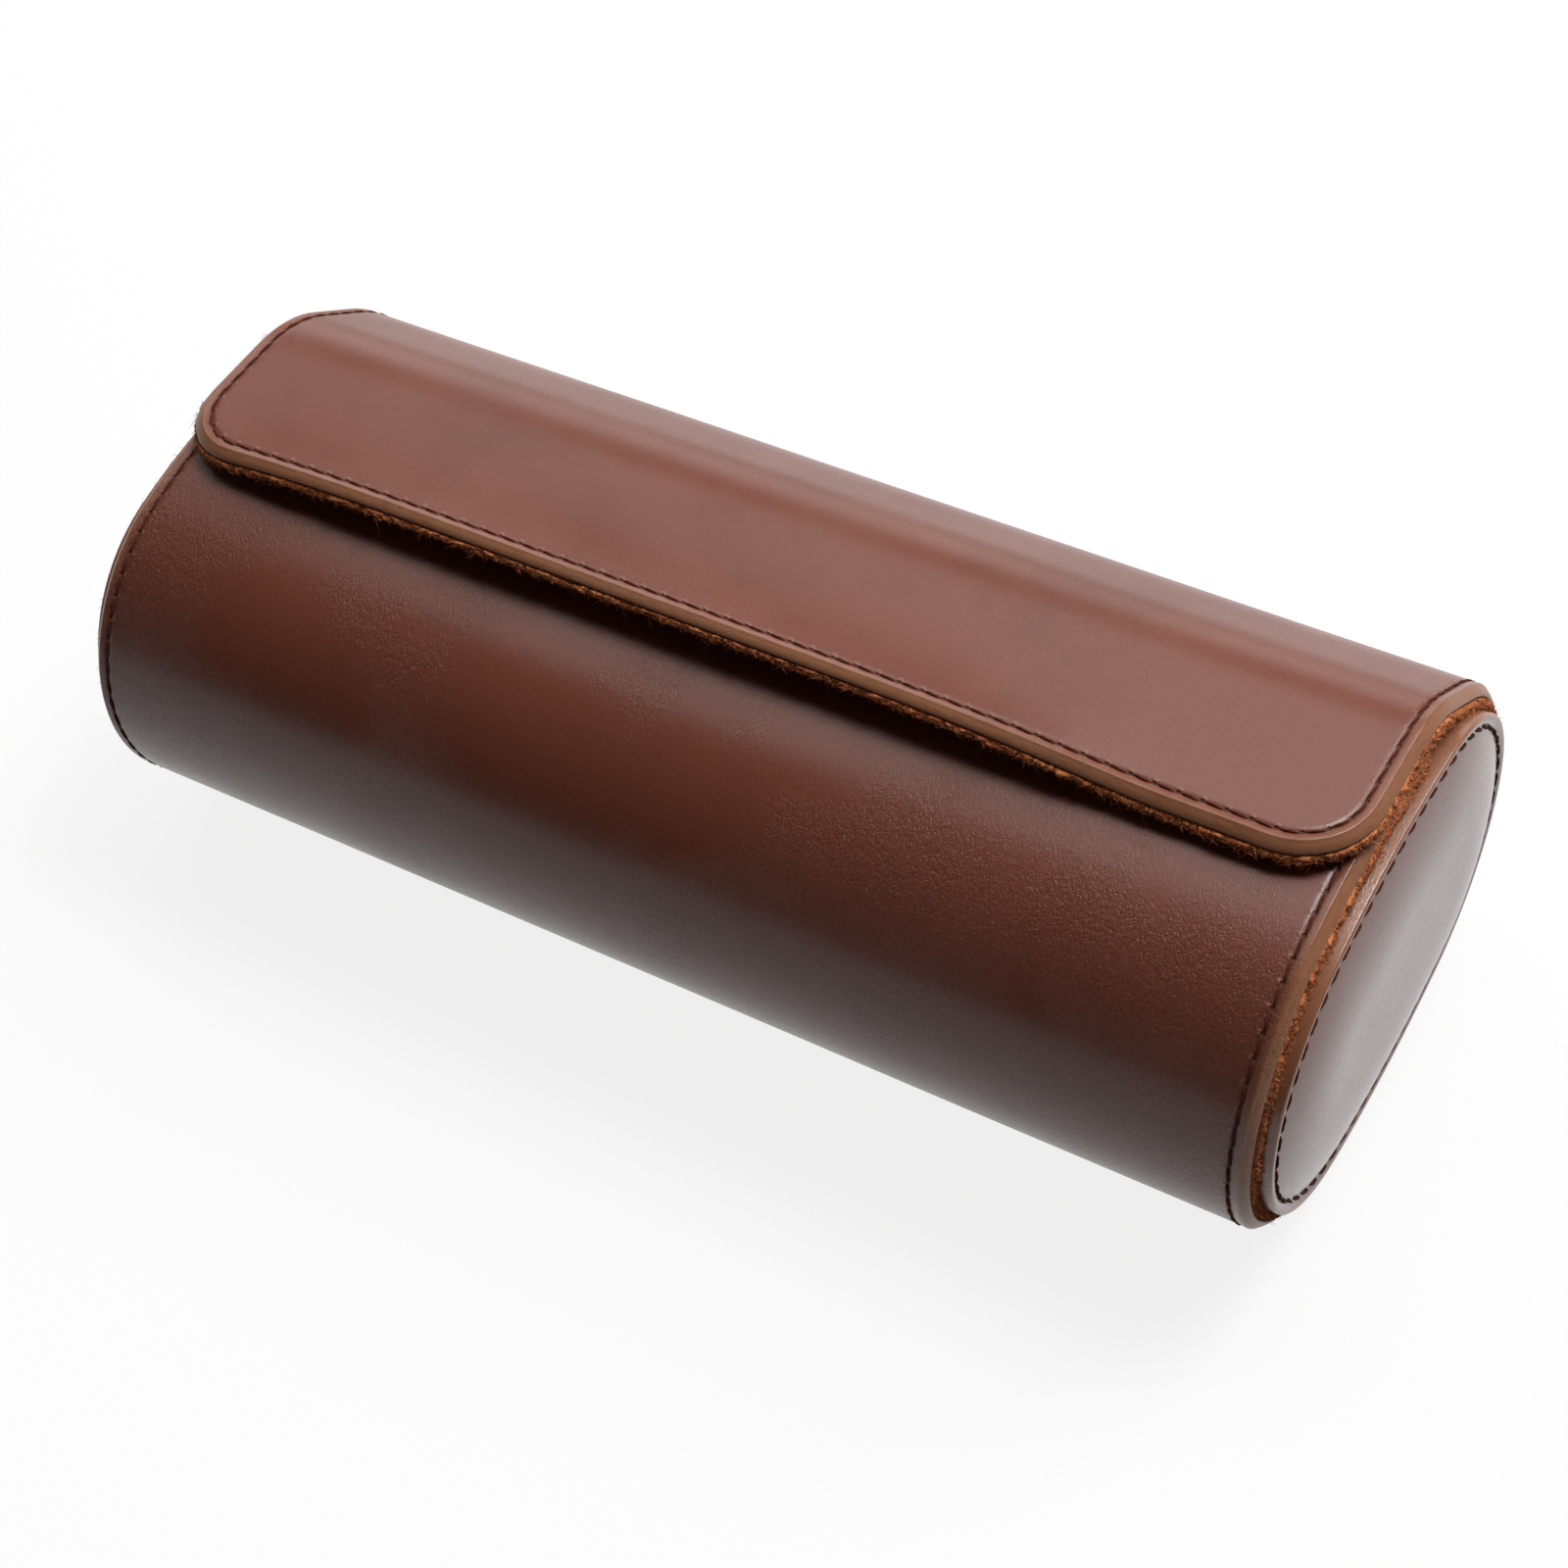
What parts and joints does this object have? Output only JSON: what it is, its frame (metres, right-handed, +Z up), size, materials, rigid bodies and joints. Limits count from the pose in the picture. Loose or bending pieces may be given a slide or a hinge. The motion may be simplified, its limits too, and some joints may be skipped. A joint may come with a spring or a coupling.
{
  "type": "watch roll",
  "caption": "Closed leather watch roll with oval section, padded end panels, snap flap, folding front panel and lift-out watch pillows between suede dividers.",
  "frame": {"origin": "middle of the foot, on the surface that the roll stands on", "axes": "+X along the roll to its right end, -Y out of its front, +Z up"},
  "size_m": [0.25, 0.106, 0.0797],
  "materials": {
    "leather": "chestnut full-grain leather, satin with a soft sheen, fine creases",
    "end_leather": "thinner chestnut leather stretched over padding, satin",
    "suede": "orange-brown suede with a short fuzzy nap",
    "pillow_suede": "tan suede with a short nap",
    "greyboard": "pressed fibre board, matt",
    "foam": "open-cell foam, matt",
    "snap_metal": "antique brass, satin"
  },
  "bodies": {
    "case": {"wrap_leather": "leather", "wrap_board": "greyboard", "wrap_lining": "suede", "end_cover_left": "end_leather", "end_cover_right": "end_leather", "end_pad_left": "foam", "end_pad_right": "foam", "end_board_left": "greyboard", "end_board_right": "greyboard", "end_lining_left": "suede", "end_lining_right": "suede", "divider_board_left": "greyboard", "divider_board_right": "greyboard", "divider_suede_left": "suede", "divider_suede_right": "suede"},
    "front_panel": {"front_panel_leather": "leather", "front_panel_lining": "suede", "snap_stud_left": "snap_metal", "snap_stud_right": "snap_metal"},
    "flap": {"flap_leather": "leather", "flap_lining": "suede", "flap_board": "greyboard", "snap_socket_left": "snap_metal", "snap_socket_right": "snap_metal"},
    "pillow_left": {"pillow_cover_left": "pillow_suede", "pillow_core_left": "foam"},
    "pillow_centre": {"pillow_cover_centre": "pillow_suede", "pillow_core_centre": "foam"},
    "pillow_right": {"pillow_cover_right": "pillow_suede", "pillow_core_right": "foam"}
  },
  "joints": [
    {"name": "flap_hinge", "type": "hinge", "parent": "case", "child": "flap", "pos_m": [0, 0.04649, 0.05775], "axis": [-1, 0, 0], "range_deg": [0, 170]},
    {"name": "front_fold", "type": "hinge", "parent": "case", "child": "front_panel", "pos_m": [0, -0.04649, 0.05775], "axis": [1, 0, 0], "range_deg": [0, 61.3]},
    {"name": "pillow_left_lift", "type": "slide", "parent": "case", "child": "pillow_left", "axis": [0, 0, 1], "range_m": [0, 0.06]},
    {"name": "pillow_centre_lift", "type": "slide", "parent": "case", "child": "pillow_centre", "axis": [0, 0, 1], "range_m": [0, 0.06]},
    {"name": "pillow_right_lift", "type": "slide", "parent": "case", "child": "pillow_right", "axis": [0, 0, 1], "range_m": [0, 0.06]}
  ],
  "couplings": [
    {"joint": "front_fold", "follows": "flap_hinge", "ratio": 0.36},
    {"joint": "pillow_left_lift", "follows": "flap_hinge", "m_per_rad": 0.02022},
    {"joint": "pillow_centre_lift", "follows": "flap_hinge", "m_per_rad": 0.02022},
    {"joint": "pillow_right_lift", "follows": "flap_hinge", "m_per_rad": 0.02022}
  ]
}
